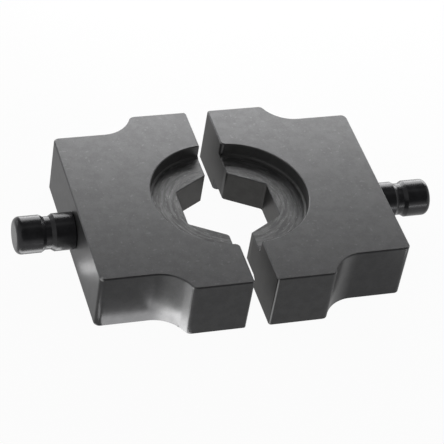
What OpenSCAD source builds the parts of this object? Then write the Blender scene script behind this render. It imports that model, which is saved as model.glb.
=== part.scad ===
// Crimp die set: two identical half dies that meet on a flat parting face,
// close to a hexagonal nest, and are held in a press by a grooved pin each.
// Millimetres. Origin on the nest's axis, midway between the two halves, at
// their lower face. +Z runs along the crimped cable, +X from one half to the other.

/* [Die half] */
// Thickness of each half, from lower face to upper face
thickness = 16; // [12:0.5:24]
// Width across the legs, at the parting face
leg_w = 64; // [60:0.5:70]
// Width across the narrow back
back_w = 52; // [46:0.5:54]
// Depth from the parting face to the back face
depth = 37; // [35:0.5:50]
// Radius of the hollow sweep between leg and back
sweep_r = 8.8; // [7:0.1:10]
// Distance from the parting face to the end of the sweep
sweep_end = 23.5; // [21:0.1:26]
// Radius of the leg's outer corner, where the sweep begins
leg_corner_r = 1.6; // [0.8:0.1:2.4]
// Radius of the upright corners at the back
back_corner_r = 1.5; // [0.8:0.1:3]
// Radius of the upright corners at the parting face
face_corner_r = 0.7; // [0.6:0.1:1.5]
// Size of the bevel that breaks the outer edges
edge_break = 0.3; // [0.2:0.05:0.5]

/* [Nest] */
// Distance across the flats of the bored hexagon
hex_af = 20.2; // [12:0.1:24]
// Radius in the hexagon's corners
hex_corner_r = 1; // [0.4:0.1:2]
// How far beyond the parting face the nest's centre lies
parting_cut = 0.9; // [0.2:0.1:1.5]
// Radius of the round relief above and below the hexagon
relief_r = 18.3; // [16:0.1:19]
// Depth of the relief in the upper face
upper_relief = 3.8; // [2:0.1:5]
// Depth of the relief in the lower face
lower_relief = 3.2; // [2:0.1:5]
// Radius in the corner between the relief's wall and floor
relief_floor_r = 0.8; // [0.3:0.1:1.5]
// Size of the bevel along the nest's edges
nest_break = 0.2; // [0.1:0.05:0.4]
// Radius of the upright edges at one end of the nest, where a half's metal must not pinch
mouth_r = 1; // [0.6:0.1:1.4]
// Size of the bevel on the upright edges at the other end of the nest
mouth_break = 0.15; // [0.1:0.05:0.3]

/* [Locating pin] */
// Diameter of the pin outside the half
pin_d = 9.5; // [9:0.5:12]
// Length of the pin that stands out of the back face
pin_reach = 15; // [13:0.5:20]
// Diameter of the pressed shank, and of its bore
shank_d = 7; // [5:0.5:8]
// Length of the pressed shank
shank_length = 14; // [10:0.5:15]
// Free depth of the bore beyond the shank's inner end
bore_relief = 1; // [0.5:0.1:1.5]
// Radial interference of the pressed shank
press_overlap = 0.01; // [0:0.005:0.02]
// Distance from the back face to the catch groove
groove_start = 5.2; // [4:0.1:6]
// Width of the catch groove at the pin's surface
groove_w = 3.4; // [3:0.1:5]
// Depth of the catch groove
groove_depth = 0.6; // [0.4:0.1:1]
// Length of each sloping side of the catch groove
groove_slope = 1; // [0.8:0.1:1.4]
// Radius round the pin's outer end
pin_end_r = 1.5; // [0.5:0.1:2.5]
// Bevel round the pin's shoulder and the shank's inner end
pin_break = 0.3; // [0.1:0.1:0.5]

/* [Set] */
// Gap between the parting faces, as the open set lies
open_gap = 5.9; // [1:0.1:16]

/* [Hidden] */
$fn = 96;
reach = 0.1;                    // how far each cutter runs past the face that it cuts
lap = 0.005;                    // how far a mouth's rounding runs past the faces that it joins
steel = [0.36, 0.36, 0.37];
black = [0.12, 0.12, 0.13];

// the outline's fixed points, on the side of positive Y
leg_y = leg_w / 2;
back_y = back_w / 2;
sweep_y = back_y + sweep_r;
leg_centre_y = leg_y - leg_corner_r;
leg_angle = asin((sweep_y - leg_centre_y) / (sweep_r + leg_corner_r));
leg_centre_x = sweep_end - (sweep_r + leg_corner_r) * cos(leg_angle);
sweep_start = [leg_centre_x, leg_centre_y] + leg_corner_r * [cos(leg_angle), sin(leg_angle)];
back_centre_x = depth - back_corner_r;
back_centre_y = back_y - back_corner_r;
face_centre_y = leg_y - face_corner_r;

// the nest
nest_floor = thickness - upper_relief;
hex_side = hex_af / sqrt(3);
hex_centre_x = hex_af / 2 - hex_corner_r;
hex_centre_y = hex_centre_x * tan(30);
hex_mouth_y = hex_side - parting_cut * tan(30);
relief_mouth_y = sqrt(pow(relief_r, 2) - pow(parting_cut, 2));

// the roundings at the nest's mouth: each one's centre, and the way from it to the hollow's side
mouth_x = parting_cut + mouth_r;
hex_round_y = (hex_af + 2 * mouth_r - mouth_x) * tan(30);
relief_round_y = sqrt(pow(relief_r + mouth_r, 2) - pow(mouth_x, 2));
hex_way = 240;
relief_way = 180 + atan2(relief_round_y, mouth_x);

// the pin
pin_r = pin_d / 2;
shank_r = shank_d / 2;
groove_end = groove_start + groove_w;

// the waste outside a rounded corner of radius r, in the sector that the rounding covers
module corner_waste(r, from, to) {
    side = r + reach;
    tip = side / cos((to - from) / 2);
    middle = (from + to) / 2;
    difference() {
        polygon([
            [0, 0], side * [cos(from), sin(from)], tip * [cos(middle), sin(middle)],
            side * [cos(to), sin(to)]
        ]);
        circle(r);
    }
}

// one quarter of the outline, with its corners as true arcs
module quarter_outline() {
    difference() {
        polygon([
            [0, 0], [0, leg_y], [leg_centre_x + leg_corner_r, leg_y], sweep_start,
            [sweep_end, sweep_y], [sweep_end, back_y], [depth, back_y], [depth, 0]
        ]);
        translate([face_corner_r, face_centre_y]) corner_waste(face_corner_r, 90, 180);
        translate([leg_centre_x, leg_centre_y]) corner_waste(leg_corner_r, leg_angle, 90);
        translate([sweep_end, sweep_y]) circle(sweep_r);
        translate([back_centre_x, back_centre_y]) corner_waste(back_corner_r, 0, 90);
    }
}

module outline() {
    quarter_outline();
    mirror([0, 1]) quarter_outline();
}

// cutter for the edge from p to q of a face at height 0, with the waste to the left of its way
module straight_break(p, q, size) {
    way = q - p;
    translate([p[0], p[1], 0]) rotate([0, 0, atan2(way[1], way[0])])
        rotate([90, 0, 90]) linear_extrude(norm(way))
            polygon([[-size - reach, reach], [reach, reach], [reach, -size - reach]]);
}

// cutter for an outward corner of radius r in a face at height 0
module outer_break(r, from, to, size) {
    rotate([0, 0, from]) rotate_extrude(angle = to - from)
        polygon([[r - size - reach, reach], [r + reach, reach], [r + reach, -size - reach]]);
}

// cutter for a hollow of radius r in a face at height 0
module inner_break(r, size) {
    translate([0, 0, -size - reach])
        cylinder(h = size + 2 * reach, r1 = r - reach, r2 = r + size + reach);
}

// all the outer edges of one face, on the side of positive Y
module face_edges() {
    straight_break([0, relief_mouth_y - edge_break], [0, face_centre_y], edge_break);
    translate([face_corner_r, face_centre_y]) outer_break(face_corner_r, 90, 180, edge_break);
    straight_break([face_corner_r, leg_y], [leg_centre_x, leg_y], edge_break);
    translate([leg_centre_x, leg_centre_y]) outer_break(leg_corner_r, leg_angle, 90, edge_break);
    translate([sweep_end, sweep_y]) inner_break(sweep_r, edge_break);
    straight_break([sweep_end, back_y], [back_centre_x, back_y], edge_break);
    translate([back_centre_x, back_centre_y]) outer_break(back_corner_r, 0, 90, edge_break);
    straight_break([depth, back_centre_y], [depth, -reach], edge_break);
}

// the block with its sweeps, rounded upright corners and broken edges
module block() {
    difference() {
        linear_extrude(thickness) outline();
        for (side = [0, 1]) mirror([0, side, 0]) {
            translate([0, 0, thickness]) face_edges();
            mirror([0, 0, 1]) face_edges();
        }
    }
}

// round relief whose floor is at height 0 and whose rim is at the face, at height deep
module relief(deep) {
    rotate_extrude() difference() {
        square([relief_r, deep + reach]);
        translate([relief_r - relief_floor_r, relief_floor_r])
            corner_waste(relief_floor_r, 270, 360);
    }
    translate([0, 0, deep]) inner_break(relief_r, nest_break);
}

// hexagon with two corners along Y, and rounded where its corners lie in the half
module nest_outline() {
    difference() {
        polygon([for (corner = [30:60:330]) hex_side * [cos(corner), sin(corner)]]);
        for (side = [-1, 1]) translate([hex_centre_x, side * hex_centre_y])
            corner_waste(hex_corner_r, side * 30 - 30, side * 30 + 30);
    }
}

// flare that bevels the hexagon's edges in a floor at height 0
module nest_flare() {
    flat_x = hex_af / 2;
    bottom = -nest_break - reach;
    for (turn = [-60:60:60], side = [0, 1])
        rotate([0, 0, turn]) mirror([0, side, 0]) rotate([90, 0, 0]) linear_extrude(hex_centre_y)
            polygon([
                [0, bottom], [flat_x - reach, bottom], [flat_x + nest_break + reach, reach],
                [0, reach]
            ]);
    for (side = [-1, 1]) translate([hex_centre_x, side * hex_centre_y, 0])
        inner_break(hex_corner_r, nest_break);
}

// waste outside the rounding of a hollow's mouth, whose centre is at y
module mouth_waste(y, way) {
    past = (mouth_r + 3 * reach) * [cos(way), sin(way)];
    translate([mouth_r, y]) difference() {
        polygon([[0, 0], [-mouth_r - reach, 0], [-mouth_r - reach, past[1]], past]);
        circle(mouth_r + lap);
    }
}

// waste of the bevel at the mouth's other end
module mouth_chip(y, lean) {
    translate([0, y]) rotate(lean) square(mouth_break * sqrt(2), center = true);
}

// both upright edges of the relief's mouth, from the floor at height 0 to the face at height deep
module relief_mouth(deep) {
    linear_extrude(deep + reach) {
        mouth_waste(relief_round_y, relief_way);
        mouth_chip(-relief_mouth_y, 45);
    }
    translate([mouth_r, relief_round_y, deep])
        outer_break(mouth_r + lap, 180, relief_way, edge_break);
}

// both upright edges of the hexagon's mouth, through the whole thickness
module hex_mouth() {
    translate([0, 0, -reach]) linear_extrude(thickness + 2 * reach) {
        mouth_waste(hex_round_y, hex_way);
        mouth_chip(-hex_mouth_y, -30);
    }
}

// bevels where a relief's floor, at height 0, meets the parting face and the rounded mouth
module web_edge() {
    for (side = [0, 1]) mirror([0, side, 0])
        straight_break([0, hex_mouth_y - 3 * reach], [0, relief_mouth_y - relief_floor_r],
            nest_break);
    translate([mouth_r, hex_round_y, 0]) outer_break(mouth_r + lap, 180, hex_way, nest_break);
}

// everything that is cut out of the block to make the nest
module nest() {
    translate([-parting_cut, 0, 0]) {
        translate([0, 0, -reach]) linear_extrude(thickness + 2 * reach) nest_outline();
        translate([0, 0, nest_floor]) { relief(upper_relief); nest_flare(); }
        translate([0, 0, lower_relief]) mirror([0, 0, 1]) { relief(lower_relief); nest_flare(); }
    }
    translate([0, 0, nest_floor]) {
        relief_mouth(upper_relief);
        web_edge();
    }
    translate([0, 0, lower_relief]) mirror([0, 0, 1]) {
        relief_mouth(lower_relief);
        web_edge();
    }
    hex_mouth();
}

// blind bore for the shank, with a drilled point
module pin_bore() {
    bore_depth = shank_length + bore_relief;
    translate([depth, 0, thickness / 2]) rotate([0, -90, 0]) {
        translate([0, 0, -reach]) cylinder(h = bore_depth + reach, r = shank_r);
        translate([0, 0, bore_depth]) cylinder(h = shank_r * tan(31), r1 = shank_r, r2 = 0);
    }
}

module die() {
    color(steel) difference() {
        block();
        nest();
        pin_bore();
    }
}

// the pin's half section: x is its radius, y the distance outward from the back face
module pin_section() {
    press_r = shank_r + press_overlap;
    groove_r = pin_r - groove_depth;
    difference() {
        polygon([
            [0, -shank_length], [press_r - pin_break, -shank_length],
            [press_r, pin_break - shank_length], [press_r, 0], [pin_r - pin_break, 0],
            [pin_r, pin_break], [pin_r, pin_reach], [0, pin_reach]
        ]);
        polygon([
            [pin_r + reach, groove_start], [pin_r, groove_start],
            [groove_r, groove_start + groove_slope], [groove_r, groove_end - groove_slope],
            [pin_r, groove_end], [pin_r + reach, groove_end]
        ]);
        translate([pin_r - pin_end_r, pin_reach - pin_end_r]) corner_waste(pin_end_r, 0, 90);
    }
}

module pin() {
    color(black) translate([depth, 0, thickness / 2]) rotate([0, 90, 0])
        rotate_extrude() pin_section();
}

// places a half with its parting face on one side of the gap
module on_right() { translate([open_gap / 2, 0, 0]) children(); }
module on_left() { rotate([0, 0, 180]) on_right() children(); }

module left_die() { on_left() die(); }
module left_pin() { on_left() pin(); }
module right_die() { on_right() die(); }
module right_pin() { on_right() pin(); }

left_die();
left_pin();
right_die();
right_pin();
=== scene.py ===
"""Looks of a crimping die set: two satin black halves with glossy locating pins."""

from functools import reduce
from math import radians

import bmesh
import bpy
from bpy.props import FloatProperty, FloatVectorProperty, PointerProperty
from mathutils import Matrix, Quaternion, Vector


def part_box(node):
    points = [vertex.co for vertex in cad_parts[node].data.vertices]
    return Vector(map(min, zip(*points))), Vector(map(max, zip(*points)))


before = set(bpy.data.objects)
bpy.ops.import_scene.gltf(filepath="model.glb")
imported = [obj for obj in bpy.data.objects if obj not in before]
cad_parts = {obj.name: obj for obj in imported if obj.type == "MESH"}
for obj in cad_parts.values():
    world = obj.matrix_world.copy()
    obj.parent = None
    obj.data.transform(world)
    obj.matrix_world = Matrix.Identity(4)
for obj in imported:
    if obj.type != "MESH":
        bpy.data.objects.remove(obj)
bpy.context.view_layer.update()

bl_info = {
    "name": "Crimp Die Finish",
    "version": (1, 0, 0),
    "blender": (4, 5, 0),
    "location": "3D Viewport > Sidebar > Crimp Die",
    "description": "Finishes a crimping die set and sets its stage",
    "category": "Material",
}

MM = 0.001
DIE_NODES = {"left_die": -1, "right_die": 1}
PIN_NODES = ("left_pin", "right_pin")

# Extents of a half, as distances from the set's middle.
HALF_THICKNESS = (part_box("left_die")[1].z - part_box("left_die")[0].z) / 2
PARTING_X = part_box("right_die")[0].x
BACK_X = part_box("right_die")[1].x
LEG_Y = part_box("right_die")[1].y
LEG_X = 18.2 * MM
BACK_Y = 26 * MM

# Where the flanks and sweeps begin and end, from the set's middle.
FLANK_START = 25 * MM
FLANK_END = 31.5 * MM
POLISH_START = 19.5 * MM
SWEEP_FADE = (22 * MM, 26 * MM)
# How far the hexagon reaches and where the relief walls begin, from the nest's axis.
HEXAGON_REACH = 13 * MM
WALL_START = 17.2 * MM
# Room round a measured face, and depths of the nest's mouth and of what counts as sunk.
FACE_ROOM = 0.05 * MM
RELIEF_ROOM = 0.1 * MM
MOUTH_DEPTH = 1.2 * MM
SUNK_DEPTH = 1 * MM
# Upward share of the normal on upright and level faces, and where fillets fade in and out.
UPRIGHT_RISE = 0.2
LEVEL_RISE = 0.98
FILLET_IN = (0.1, 0.25)
FILLET_OUT = (0.95, 0.99)
# Distances from an end at which the rub and its painted glint begin and at which they are full.
RIM_RUB_GLINT = (0.9 * MM, 0.4 * MM)
LEG_RUB_GLINT = (1.1 * MM, 0.5 * MM)
BACK_RUB_GLINT = (1.0 * MM, 0.4 * MM)
CORNER_RUB_GLINT = (1.3 * MM, 0.6 * MM)
SEAM_RUB_GLINT = (0.5 * MM, 0.2 * MM)
# Half of the stretch over which a leg tip's rub and painted glint fade in at LEG_X.
LEG_FADE = 0.3 * MM

# Lowest and highest factor of each pattern on the colour, and of the arcs on roughness.
STAIN_TONE = (0.93, 1.06)
PIT_TONE = (0.94, 1.05)
ARC_TONE = (0.74, 1.2)
ARC_ROUGH = (0.38, 0.48)
# Share of bare steel in scratches and in specks, and of bare steel standing for painted glints and
# wear in whole and worn tips.
SCRATCH_SHARE = 0.3
SPECK_SHARE = 0.1
RUB_GLINT_SHARE = (0.1, 0.8)
# Heights in the bump: pits on blasted and smooth faces, lines off and on ground flanks.
PIT_HEIGHT = (0.5, 0.08)
LINE_HEIGHT = (0.02, 0.2)
BROACH_HEIGHT = 0.5
# Strength and distance of the bumps.
DIE_BUMP = (0.25, 0.05 * MM)
PIN_BUMP = (0.08, 0.01 * MM)


def colour(name, description, default):
    return FloatVectorProperty(
        name=name, description=description, default=default, subtype="COLOR", min=0, max=1
    )


def length(name, description, default):
    return FloatProperty(
        name=name, description=description, default=default, unit="LENGTH", min=0, precision=5
    )


def share(name, description, default):
    return FloatProperty(
        name=name, description=description, default=default, subtype="FACTOR", min=0, max=1
    )


def angle(name, description, degrees):
    return FloatProperty(
        name=name, description=description, default=radians(degrees), subtype="ANGLE"
    )


class DieFinish(bpy.types.PropertyGroup):
    """Finish of the steel halves."""

    steel: colour("Steel", "Colour of the blackened upper and lower faces", (0.118, 0.118, 0.12))
    flank: colour("Leg flanks", "Colour of the ground leg flanks", (0.064, 0.064, 0.065))
    narrow: colour("Back flanks", "Colour of the polished back flanks", (0.05, 0.05, 0.051))
    # The sweeps' colour is lighter than the back flanks' as a painted sheen on the polished sweeps.
    sweep_sheen: colour("Sweeps", "Colour of the polished sweeps", (0.11, 0.11, 0.111))
    # The nest's colour is darker than the faces' as painted shade in the hexagon nest, which
    # darkens the parting faces too; its warm tint is the oxide's own.
    nest: colour("Nest", "Colour of the broached hexagon and parting faces", (0.061, 0.06, 0.0585))
    relief: colour("Relief floors", "Colour of the turned relief floors", (0.119, 0.119, 0.12))
    # The relief walls' colour is lighter than the faces' as painted light on the sunk walls.
    wall: colour("Relief walls", "Colour of the relief walls", (0.14, 0.14, 0.14))
    # The fillets' colour is darker as painted shade in the crease between relief wall and floor,
    # where it hides the fillets' highlight.
    fillet_shade: colour("Fillets", "Colour of the fillets round the relief floors", (0.07, 0.07, 0.07))
    # Bare steel shows in scratches and specks; at the edge tips it is also a painted glint of the
    # corner roundings.
    bare_and_glint: colour("Bare steel", "Colour where an edge has lost its black", (0.4, 0.4, 0.4))
    edge: colour("Edge tint", "Tint of the steel's grazing reflection", (0.8, 0.8, 0.8))
    metal: share("Metal", "How metallic the blackened steel looks", 0.85)
    grain: length("Grain", "Size of the fine blasted pits", 0.3 * MM)
    cloud: length("Clouds", "Size of the soft stains in the oxide", 2.5 * MM)
    # Spacing of the noise that decides how much rub and painted glint each tip gets.
    rub_glint_patch: length("Chips", "Distance between worn and whole tips", 9 * MM)
    cut_pitch: length("Cutter marks", "Distance between the cutter's arcs", 0.65 * MM)
    line_pitch: length("Grinding lines", "Distance between grinding lines", 0.25 * MM)
    relief_r: length("Relief radius", "Radius of the round relief", 18.3 * MM)
    nest_x: length("Nest offset", "Distance from the set's middle to a half's nest axis", 2.05 * MM)
    face_rough: share("Face roughness", "Roughness of the blasted faces", 0.42)
    flank_rough: share("Flank roughness", "Roughness of the sweeps and back flanks", 0.29)
    nest_rough: share("Nest roughness", "Roughness of the broached hexagon", 0.34)
    wall_rough: share("Wall roughness", "Roughness of the relief walls", 0.5)


class PinFinish(bpy.types.PropertyGroup):
    """Finish of the turned locating pins."""

    black: colour("Black", "Colour of the oxide on the pins", (0.022, 0.022, 0.024))
    gloss: share("Roughness", "Roughness of the turned surface", 0.25)
    metal: share("Metal", "How metallic the oxide looks", 0.35)
    turn_pitch: length("Turning lines", "Distance between turning lines", 0.2 * MM)
    grain: length("Grain", "Size of the fine pits in the oxide", 0.4 * MM)
    cloud: length("Clouds", "Size of the soft stains in the oxide", 2.5 * MM)


class Stage(bpy.types.PropertyGroup):
    """Camera, lamps and floor."""

    azimuth: angle("Azimuth", "Camera's turn about the vertical", -23.32)
    elevation: angle("Elevation", "Camera's height above the horizon", 42.13)
    roll: angle("Roll", "Camera's tilt about its own axis", 10.56)
    distance: length("Distance", "From the camera to its target", 511.4 * MM)
    lens: FloatProperty(
        name="Lens", description="Focal length", default=159.57, subtype="DISTANCE_CAMERA"
    )
    target: FloatVectorProperty(
        name="Target", description="Point that the camera looks at", subtype="XYZ",
        default=(1.862 * MM, 5.935 * MM, 0), unit="LENGTH",
    )
    backdrop: colour("Backdrop", "Colour of the floor and backdrop", (1, 1, 1))


class NodeTools:
    """Short ways to add nodes to one tree."""

    def __init__(self, tree):
        self.tree = tree

    def add(self, kind, **settings):
        node = self.tree.nodes.new(kind)
        for name, value in settings.items():
            setattr(node, name, value)
        return node

    def feed(self, socket, value):
        """Links a socket, or sets a plain value."""
        if isinstance(value, bpy.types.NodeSocket):
            self.tree.links.new(value, socket)
        else:
            socket.default_value = value

    def math(self, operation, a, b=0.5):
        node = self.add("ShaderNodeMath", operation=operation)
        self.feed(node.inputs[0], a)
        self.feed(node.inputs[1], b)
        return node.outputs[0]

    def product(self, *values):
        return reduce(lambda a, b: self.math("MULTIPLY", a, b), values)

    def highest(self, *values):
        return reduce(lambda a, b: self.math("MAXIMUM", a, b), values)

    def total(self, *values):
        return reduce(lambda a, b: self.math("ADD", a, b), values)

    def vector(self, operation, a, b=(0, 0, 0)):
        node = self.add("ShaderNodeVectorMath", operation=operation)
        self.feed(node.inputs[0], a)
        self.feed(node.inputs[1], b)
        return node.outputs["Value" if operation in {"LENGTH", "DOT_PRODUCT"} else "Vector"]

    def split(self, vector):
        node = self.add("ShaderNodeSeparateXYZ")
        self.feed(node.inputs[0], vector)
        return node.outputs

    def join(self, x, y, z):
        node = self.add("ShaderNodeCombineXYZ")
        for socket, value in zip(node.inputs, (x, y, z)):
            self.feed(socket, value)
        return node.outputs[0]

    def ramp(self, value, low, high, to_low=0.0, to_high=1.0):
        """Smooth step of value from low to high."""
        node = self.add("ShaderNodeMapRange", interpolation_type="SMOOTHSTEP")
        for name, setting in (
            ("Value", value), ("From Min", low), ("From Max", high),
            ("To Min", to_low), ("To Max", to_high),
        ):
            self.feed(node.inputs[name], setting)
        return node.outputs[0]

    def noise(self, vector, scale, detail=2.0, rough=0.5):
        node = self.add("ShaderNodeTexNoise")
        self.feed(node.inputs["Vector"], vector)
        self.feed(node.inputs["Scale"], scale)
        self.feed(node.inputs["Detail"], detail)
        self.feed(node.inputs["Roughness"], rough)
        return node.outputs["Fac"]

    def mix(self, share_b, a, b, blend_type="MIX"):
        """Mix of two colours."""
        node = self.add("ShaderNodeMix", data_type="RGBA", blend_type=blend_type)
        self.feed(node.inputs["Factor"], share_b)
        self.feed(node.inputs["A"], a)
        self.feed(node.inputs["B"], b)
        return node.outputs["Result"]

    def blend(self, share_b, a, b):
        """Mix of two numbers."""
        node = self.add("ShaderNodeMix", data_type="FLOAT")
        self.feed(node.inputs[0], share_b)
        self.feed(node.inputs[2], a)
        self.feed(node.inputs[3], b)
        return node.outputs[0]

    def mix_shaders(self, share_b, a, b):
        node = self.add("ShaderNodeMixShader")
        for socket, value in zip(node.inputs, (share_b, a, b)):
            self.feed(socket, value)
        return node.outputs[0]

    def group(self, tree, **values):
        node = self.add("ShaderNodeGroup", node_tree=tree)
        for name, value in values.items():
            self.feed(node.inputs[name.replace("_", " ").capitalize()], value)
        return node.outputs

    def bump(self, height, strength, distance):
        node = self.add("ShaderNodeBump")
        self.feed(node.inputs["Strength"], strength)
        self.feed(node.inputs["Distance"], distance)
        self.feed(node.inputs["Height"], height)
        return node.outputs[0]


def new_group(name, inputs, outputs):
    """Empty shader node group with the named sockets."""
    tree = bpy.data.node_groups.new(name, "ShaderNodeTree")
    kinds = {"F": "NodeSocketFloat", "V": "NodeSocketVector"}
    for direction, sockets in (("INPUT", inputs), ("OUTPUT", outputs)):
        for socket, kind in sockets.items():
            tree.interface.new_socket(socket, in_out=direction, socket_type=kinds[kind])
    tools = NodeTools(tree)
    return tree, tools, tools.add("NodeGroupInput").outputs, tools.add("NodeGroupOutput").inputs


def blasted_skin_group(name):
    """Fine pits, soft stains and pale specks of a blasted, blackened face."""
    tree, t, given, out = new_group(
        name,
        {"Place": "V", "Grain": "F", "Cloud": "F"},
        {"Pits": "F", "Stain": "F", "Specks": "F"},
    )
    place, grain = given["Place"], given["Grain"]
    stain = t.noise(place, t.math("DIVIDE", 1.0, given["Cloud"]), 4.0, 0.6)
    dots = t.noise(place, t.math("DIVIDE", 0.4, grain), 0.0)
    t.feed(out["Pits"], t.noise(place, t.math("DIVIDE", 1.0, grain), 3.0, 0.6))
    t.feed(out["Stain"], t.ramp(stain, 0.35, 0.65))
    t.feed(out["Specks"], t.ramp(dots, 0.72, 0.82))
    return tree


def cutter_arcs_group(name):
    """Arcs that a cutter leaves round the nest's axis."""
    tree, t, given, out = new_group(
        name, {"Place": "V", "Centre x": "F", "Pitch": "F"}, {"Arcs": "F", "Scratches": "F"}
    )
    x, y, _ = t.split(given["Place"])
    flat = t.join(t.math("SUBTRACT", x, given["Centre x"]), y, 0.0)
    rings = t.math("DIVIDE", t.vector("LENGTH", flat), given["Pitch"])
    way_x, way_y, _ = t.split(t.vector("NORMALIZE", flat))
    along = t.join(rings, t.product(way_x, 2.5), t.product(way_y, 2.5))
    fine = t.noise(t.vector("MULTIPLY", along, (2.7, 4.0, 4.0)), 1.0, 1.0)
    t.feed(out["Arcs"], t.noise(along, 1.0, 2.0, 0.6))
    t.feed(out["Scratches"], t.ramp(fine, 0.62, 0.74))
    return tree


def ground_lines_group(name):
    """Fine straight lines of a grinding wheel or a broach."""
    tree, t, given, out = new_group(
        name, {"Place": "V", "Pitch": "F", "Stretch": "V"}, {"Lines": "F"}
    )
    scaled = t.vector("MULTIPLY", given["Place"], given["Stretch"])
    t.feed(out["Lines"], t.noise(scaled, t.math("DIVIDE", 1.0, given["Pitch"]), 2.0, 0.55))
    return tree


def die_zones_group(name):
    """Masks for the differently made surfaces of a half."""
    zones = ("Face", "Side", "Polished", "Sweep", "Broached", "Nest wall", "Relief floor",
             "Relief wall", "Fillet", "Tip")
    tree, t, given, out = new_group(
        name,
        {"Place": "V", "Normal": "V", "Centre x": "F", "Relief radius": "F"},
        dict.fromkeys(zones, "F"),
    )
    x, y, z = t.split(given["Place"])
    far, wide = t.math("ABSOLUTE", x), t.math("ABSOLUTE", y)
    high = t.math("ABSOLUTE", t.math("SUBTRACT", z, HALF_THICKNESS))
    rise = t.math("ABSOLUTE", t.split(given["Normal"])[2])
    radius = t.vector("LENGTH", t.join(t.math("SUBTRACT", x, given["Centre x"]), y, 0.0))
    upright = t.math("LESS_THAN", rise, UPRIGHT_RISE)
    level = t.math("GREATER_THAN", rise, LEVEL_RISE)

    def rub_glint_mask(value, end, reach):
        """Mask that begins and is full at two distances before an end."""
        begins, full = reach
        return t.ramp(value, end - begins, end - full)

    outer = t.math("GREATER_THAN", high, HALF_THICKNESS - FACE_ROOM)
    side = t.product(upright, t.math("GREATER_THAN", wide, FLANK_START))
    flank = t.product(side, t.math("LESS_THAN", wide, FLANK_END))
    parting = t.product(upright, t.math("LESS_THAN", far, PARTING_X + FACE_ROOM))
    hexagon = t.product(upright, t.math("LESS_THAN", radius, HEXAGON_REACH))

    inside = t.math("LESS_THAN", radius, t.total(given["Relief radius"], RELIEF_ROOM))
    sunk = t.math("LESS_THAN", high, HALF_THICKNESS - SUNK_DEPTH)
    ring = t.product(inside, t.math("GREATER_THAN", radius, WALL_START))
    bent = t.product(t.ramp(rise, *FILLET_IN), t.ramp(rise, *FILLET_OUT, 1.0, 0.0))
    past_mouth = t.math("GREATER_THAN", far, PARTING_X + MOUTH_DEPTH)

    # The tips, rims and seams below take pale bare steel as painted glints that also stand for
    # wear.
    rim = rub_glint_mask(high, HALF_THICKNESS, RIM_RUB_GLINT)
    beyond_leg = t.ramp(far, LEG_X - LEG_FADE, LEG_X + LEG_FADE)
    leg_tip = t.product(rim, rub_glint_mask(wide, LEG_Y, LEG_RUB_GLINT), beyond_leg)
    back_tip = t.product(rim, rub_glint_mask(far, BACK_X, BACK_RUB_GLINT), rub_glint_mask(wide, BACK_Y, CORNER_RUB_GLINT))
    seam_begins, seam_full = SEAM_RUB_GLINT
    at_parting = t.ramp(far, PARTING_X + seam_full, PARTING_X + seam_begins, 1.0, 0.0)
    seam = t.product(rub_glint_mask(wide, LEG_Y, SEAM_RUB_GLINT), at_parting)
    masks = {
        "Face": t.product(outer, level),
        "Side": side,
        "Polished": t.product(flank, t.math("GREATER_THAN", far, POLISH_START)),
        "Sweep": t.product(flank, t.ramp(far, *SWEEP_FADE, 1.0, 0.0)),
        "Broached": t.highest(hexagon, parting),
        "Nest wall": hexagon,
        "Relief floor": t.product(level, inside, sunk),
        "Relief wall": t.product(upright, ring, past_mouth),
        "Fillet": t.product(bent, sunk, ring),
        "Tip": t.highest(seam, leg_tip, back_tip),
    }
    for zone, mask in masks.items():
        t.feed(out[zone], mask)
    return tree


GROUP_MAKERS = {
    "blasted_skin": blasted_skin_group,
    "cutter_arcs": cutter_arcs_group,
    "ground_lines": ground_lines_group,
    "die_zones": die_zones_group,
}


def shared_groups():
    """The shader groups, each made once."""
    return {
        name: bpy.data.node_groups.get(name) or make(name) for name, make in GROUP_MAKERS.items()
    }


def new_material(name):
    """Material with only its output and a Principled shader."""
    material = bpy.data.materials.new(name)
    material.use_nodes = True
    material.node_tree.nodes.clear()
    t = NodeTools(material.node_tree)
    shader = t.add("ShaderNodeBsdfPrincipled")
    t.feed(t.add("ShaderNodeOutputMaterial").inputs["Surface"], shader.outputs[0])
    return material, t, shader


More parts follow.
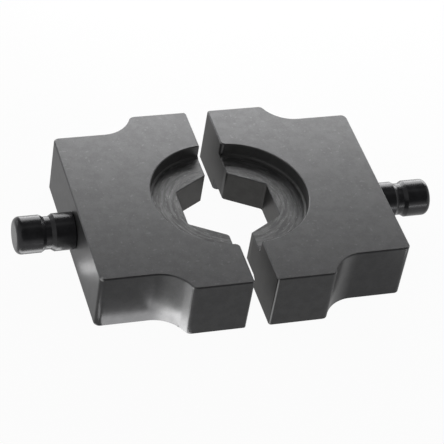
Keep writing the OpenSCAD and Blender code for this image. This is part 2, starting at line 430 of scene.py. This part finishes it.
def die_material(name, side, look, groups):
    """Blasted faces, ground legs, polished sweeps, a broached nest and turned reliefs, with painted
    sheen on the sweeps, painted light on the relief walls, painted shade in the nest and fillets,
    and painted glints, partly wear, at the edge tips.
    """
    material, t, shader = new_material(name)
    where = t.add("ShaderNodeTexCoord").outputs
    place = where["Object"]
    centre = side * look.nest_x
    zones = t.group(
        groups["die_zones"], place=place, normal=where["Normal"], centre_x=centre,
        relief_radius=look.relief_r,
    )
    skin = t.group(groups["blasted_skin"], place=place, grain=look.grain, cloud=look.cloud)
    cuts = t.group(groups["cutter_arcs"], place=place, centre_x=centre, pitch=look.cut_pitch)
    grinding, broaching = (
        t.group(groups["ground_lines"], place=place, pitch=look.line_pitch, stretch=stretch)
        for stretch in ((0.05, 0.05, 1.0), (1.0, 1.0, 0.03))
    )

    base = (*look.steel, 1)
    for zone, tint in (
        # The sweeps' lighter tone is a painted sheen.
        ("Side", look.flank), ("Polished", look.narrow), ("Sweep", look.sweep_sheen),
        # The nest's darker tone is painted shade; its warm tint is the oxide's own.
        # The relief walls' lighter tone is painted light.
        ("Broached", look.nest), ("Relief floor", look.relief), ("Relief wall", look.wall),
        # The fillets' darker tone is painted shade in the crease.
        ("Fillet", look.fillet_shade),
    ):
        base = t.mix(zones[zone], base, (*tint, 1))
    arcs = t.ramp(cuts["Arcs"], 0.38, 0.62, *ARC_TONE)
    tone = t.product(
        t.blend(skin["Stain"], *STAIN_TONE),
        t.ramp(skin["Pits"], 0.3, 0.7, *PIT_TONE),
        t.blend(zones["Relief floor"], 1.0, arcs),
    )
    # Stains, pits and cutter arcs add the oxide's own tone to zone tones that carry painted sheen,
    # light and shade.
    worn = t.mix(1.0, base, tone, "MULTIPLY")
    scratches = t.product(zones["Relief floor"], cuts["Scratches"], SCRATCH_SHARE)
    specks = t.product(zones["Face"], skin["Specks"], SPECK_SHARE)
    # Edge tips get pale bare steel as painted glints of the rounded corners, partly also as
    # rubbed-off oxide.
    rub_glint_patches = t.noise(place, 1 / look.rub_glint_patch, 1.0)
    rub_and_glint = t.product(zones["Tip"], t.ramp(rub_glint_patches, 0.4, 0.6, *RUB_GLINT_SHARE))
    for mask in (scratches, specks, rub_and_glint):
        worn = t.mix(mask, worn, (*look.bare_and_glint, 1))
    t.feed(shader.inputs["Base Color"], worn)

    rough = look.face_rough
    for mask, value in (
        (zones["Polished"], look.flank_rough),
        (zones["Nest wall"], look.nest_rough),
        (zones["Relief floor"], t.ramp(cuts["Arcs"], 0.35, 0.65, *ARC_ROUGH)),
        (t.highest(zones["Relief wall"], zones["Fillet"]), look.wall_rough),
    ):
        rough = t.blend(mask, rough, value)
    t.feed(shader.inputs["Roughness"], rough)
    t.feed(shader.inputs["Metallic"], look.metal)
    t.feed(shader.inputs["Specular Tint"], (*look.edge, 1))

    smooth = t.highest(
        zones["Nest wall"], zones["Relief wall"], zones["Side"], zones["Relief floor"]
    )
    ground = t.math("SUBTRACT", zones["Side"], zones["Polished"])
    height = t.total(
        t.product(skin["Pits"], t.blend(smooth, *PIT_HEIGHT)),
        t.product(grinding["Lines"], t.blend(ground, *LINE_HEIGHT)),
        t.product(broaching["Lines"], zones["Nest wall"], BROACH_HEIGHT),
        t.product(cuts["Arcs"], zones["Relief floor"]),
    )
    t.feed(shader.inputs["Normal"], t.bump(height, *DIE_BUMP))
    return material


def pin_material(name, look, groups):
    """Glossy black oxide over fine turning lines."""
    material, t, shader = new_material(name)
    place = t.add("ShaderNodeTexCoord").outputs["Object"]
    turning = t.group(
        groups["ground_lines"], place=place, pitch=look.turn_pitch, stretch=(1.0, 0.02, 0.02)
    )
    skin = t.group(groups["blasted_skin"], place=place, grain=look.grain, cloud=look.cloud)
    dark, pale = ((*(gain * c for c in look.black), 1) for gain in (1.0, 1.5))
    t.feed(shader.inputs["Base Color"], t.mix(skin["Stain"], dark, pale))
    t.feed(shader.inputs["Metallic"], look.metal)
    t.feed(shader.inputs["Roughness"], look.gloss)
    t.feed(shader.inputs["Normal"], t.bump(turning["Lines"], *PIN_BUMP))
    return material


def dress(node, material):
    """Gives a CAD node's object its material."""
    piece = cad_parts[node]
    piece.data.materials.clear()
    piece.data.materials.append(material)


# Each softbox: its place, the point that it faces, its size and its power in watts.
SOFTBOXES = {
    "rear_softbox": ((0.08, 0.115, 0.05), (0.08, 0, 0.028), (0.24, 0.1), 0.34),
    "left_rear_softbox": ((-0.3, 0.3, 0.13), (0, 0, 0.01), (0.2, 0.15), 0.09),
    "left_softbox": ((-0.5, -0.15, 0.3), (0, 0, 0.01), (0.4, 0.4), 0.07),
}
# Each small lamp that faces up from the floor, for the streaks: its place, size and watts.
FLOOR_GLOWS = {
    "left_flank_glow": ((-0.029, -0.0277), (0.018, 0.0034), 0.00085),
    "left_corner_glow": ((-0.0435, -0.0295), (0.007, 0.003), 0.0002),
    "left_sweep_glow": ((-0.021, -0.0309), (0.008, 0.003), 0.00047),
    "left_pin_glow": ((-0.0505, -0.006), (0.016, 0.004), 0.0007),
    "right_pin_glow": ((0.066, -0.046), (0.03, 0.02), 0.009),
}
GLOW_Z = 0.2 * MM
GLOW_AIM_Z = 1


def area_lamp(name, place, aim, size, watts):
    """Rectangular lamp that lights the scene but isn't seen itself."""
    lamp = bpy.data.lights.new(name, "AREA")
    lamp.shape = "RECTANGLE"
    lamp.size, lamp.size_y = size
    lamp.energy = watts
    holder = bpy.data.objects.new(name, lamp)
    bpy.context.scene.collection.objects.link(holder)
    holder.location = place
    holder.rotation_mode = "QUATERNION"
    holder.rotation_quaternion = (Vector(aim) - Vector(place)).to_track_quat("-Z", "Y")
    holder.visible_camera = False


# Dark flags, rear and front: the direction, and the cosines where each begins and is full.
FLAGS = (
    ((0.29, 0.68, 0.67), (0.68, 0.9)),
    ((0.2, -0.66, 0.72), (0.7, 0.88)),
)
FLAG_GLOW = 0.05
# The tent's glow falls between two heights of the view.
TENT_RISE = (0.25, 0.6)
TENT_GLOW = (0.6, 0.4)
ROOM_LIGHT = 0.35


def white_room(look):
    """World: a white backdrop to the camera, and a soft tent with two flags to gloss."""
    world = bpy.data.worlds.new("pale_room")
    bpy.context.scene.world = world
    world.use_nodes = True
    world.node_tree.nodes.clear()
    t = NodeTools(world.node_tree)
    rays = t.add("ShaderNodeLightPath").outputs
    way = t.add("ShaderNodeTexCoord").outputs["Generated"]
    tent = t.ramp(t.split(way)[2], *TENT_RISE, *TENT_GLOW)
    flagged = t.highest(*(
        t.ramp(t.vector("DOT_PRODUCT", way, facing), *cosines) for facing, cosines in FLAGS
    ))
    glow = t.blend(flagged, tent, FLAG_GLOW)
    seen = t.highest(rays["Is Camera Ray"], rays["Is Transmission Ray"])
    strength = t.blend(seen, t.blend(rays["Is Glossy Ray"], ROOM_LIGHT, glow), 1.0)
    background = t.add("ShaderNodeBackground")
    t.feed(background.inputs["Color"], (*look.backdrop, 1))
    t.feed(background.inputs["Strength"], strength)
    t.feed(t.add("ShaderNodeOutputWorld").inputs["Surface"], background.outputs[0])


FLOOR_HALF = 1.5
FLOOR_Z = -0.05 * MM
# The paper's own brightness, its glow in gloss, and how much of it is glow to the camera.
PAPER = 0.5
FLOOR_GLOSS = 0.75
FLOOR_WHITE = 0.96


def paper_material(look):
    """White to the camera, dimmer to gloss, with a faint shadow. Clear from below."""
    material = bpy.data.materials.new("pale_paper")
    material.use_nodes = True
    material.node_tree.nodes.clear()
    t = NodeTools(material.node_tree)
    rays = t.add("ShaderNodeLightPath").outputs
    paper = t.add("ShaderNodeBsdfDiffuse")
    t.feed(paper.inputs["Color"], (*(PAPER * c for c in look.backdrop), 1))
    glow = t.add("ShaderNodeEmission")
    t.feed(glow.inputs["Color"], (*look.backdrop, 1))
    t.feed(glow.inputs["Strength"], 1.0)
    seen = t.highest(
        rays["Is Camera Ray"], rays["Is Transmission Ray"],
        t.product(rays["Is Glossy Ray"], FLOOR_GLOSS),
    )
    lit = t.mix_shaders(t.product(seen, FLOOR_WHITE), paper.outputs[0], glow.outputs[0])
    clear = t.add("ShaderNodeBsdfTransparent").outputs[0]
    below = t.add("ShaderNodeNewGeometry").outputs["Backfacing"]
    surface = t.mix_shaders(below, lit, clear)
    t.feed(t.add("ShaderNodeOutputMaterial").inputs["Surface"], surface)
    return material


def pale_floor(look):
    """Large floor, just under the halves."""
    mesh = bpy.data.meshes.new("floor")
    floor = bpy.data.objects.new("floor", mesh)
    bpy.context.scene.collection.objects.link(floor)
    made = bmesh.new()
    lowered = Matrix.Translation((0, 0, FLOOR_Z))
    bmesh.ops.create_grid(made, x_segments=1, y_segments=1, size=FLOOR_HALF, matrix=lowered)
    made.to_mesh(mesh)
    made.free()
    mesh.materials.append(paper_material(look))


def photo_camera(look):
    """Camera at the photograph's viewing angle."""
    lens = bpy.data.cameras.new("camera")
    lens.lens = look.lens
    camera = bpy.data.objects.new("camera", lens)
    bpy.context.scene.collection.objects.link(camera)
    turn = Matrix.Rotation(look.azimuth, 3, "Z") @ Matrix.Rotation(-look.elevation, 3, "X")
    back = turn @ Vector((0, -1, 0))
    camera.location = Vector(look.target) + back * look.distance
    camera.rotation_mode = "QUATERNION"
    facing = (-back).to_track_quat("-Z", "Y")
    camera.rotation_quaternion = facing @ Quaternion((0, 0, 1), look.roll)
    bpy.context.scene.camera = camera


class SetStage(bpy.types.Operator):
    """Set the floor, the lamps and the camera"""

    bl_idname = "crimp_die.set_stage"
    bl_label = "Set the stage"

    def execute(self, context):
        look = context.scene.crimp_stage
        context.scene.view_settings.view_transform = "Standard"
        photo_camera(look)
        white_room(look)
        pale_floor(look)
        for name, setting in SOFTBOXES.items():
            area_lamp(name, *setting)
        for name, (place, size, watts) in FLOOR_GLOWS.items():
            area_lamp(name, (*place, GLOW_Z), (*place, GLOW_AIM_Z), size, watts)
        return {"FINISHED"}


class FinishDies(bpy.types.Operator):
    """Give both halves their blasted, ground and broached steel"""

    bl_idname = "crimp_die.finish_dies"
    bl_label = "Finish the halves"

    def execute(self, context):
        groups = shared_groups()
        for node, side in DIE_NODES.items():
            dress(node, die_material(node + "_steel", side, context.scene.crimp_dies, groups))
        return {"FINISHED"}


class FinishPins(bpy.types.Operator):
    """Give both locating pins their glossy black turned surface"""

    bl_idname = "crimp_die.finish_pins"
    bl_label = "Finish the pins"

    def execute(self, context):
        groups = shared_groups()
        for node in PIN_NODES:
            dress(node, pin_material(node + "_steel", context.scene.crimp_pins, groups))
        return {"FINISHED"}


class CrimpDiePanel(bpy.types.Panel):
    """Steps that finish the crimping die set"""

    bl_idname = "VIEW3D_PT_crimp_die"
    bl_label = "Crimp Die"
    bl_space_type = "VIEW_3D"
    bl_region_type = "UI"
    bl_category = "Crimp Die"

    def draw(self, context):
        for step in STEPS:
            self.layout.operator(step.bl_idname)


STEPS = (SetStage, FinishDies, FinishPins)
CLASSES = (DieFinish, PinFinish, Stage, *STEPS, CrimpDiePanel)


def register():
    for cls in CLASSES:
        bpy.utils.register_class(cls)
    bpy.types.Scene.crimp_dies = PointerProperty(type=DieFinish)
    bpy.types.Scene.crimp_pins = PointerProperty(type=PinFinish)
    bpy.types.Scene.crimp_stage = PointerProperty(type=Stage)


def unregister():
    del bpy.types.Scene.crimp_stage, bpy.types.Scene.crimp_pins, bpy.types.Scene.crimp_dies
    for cls in reversed(CLASSES):
        bpy.utils.unregister_class(cls)


def main():
    register()
    bpy.ops.crimp_die.set_stage()
    bpy.ops.crimp_die.finish_dies()
    bpy.ops.crimp_die.finish_pins()


if __name__ == "__main__":
    main()
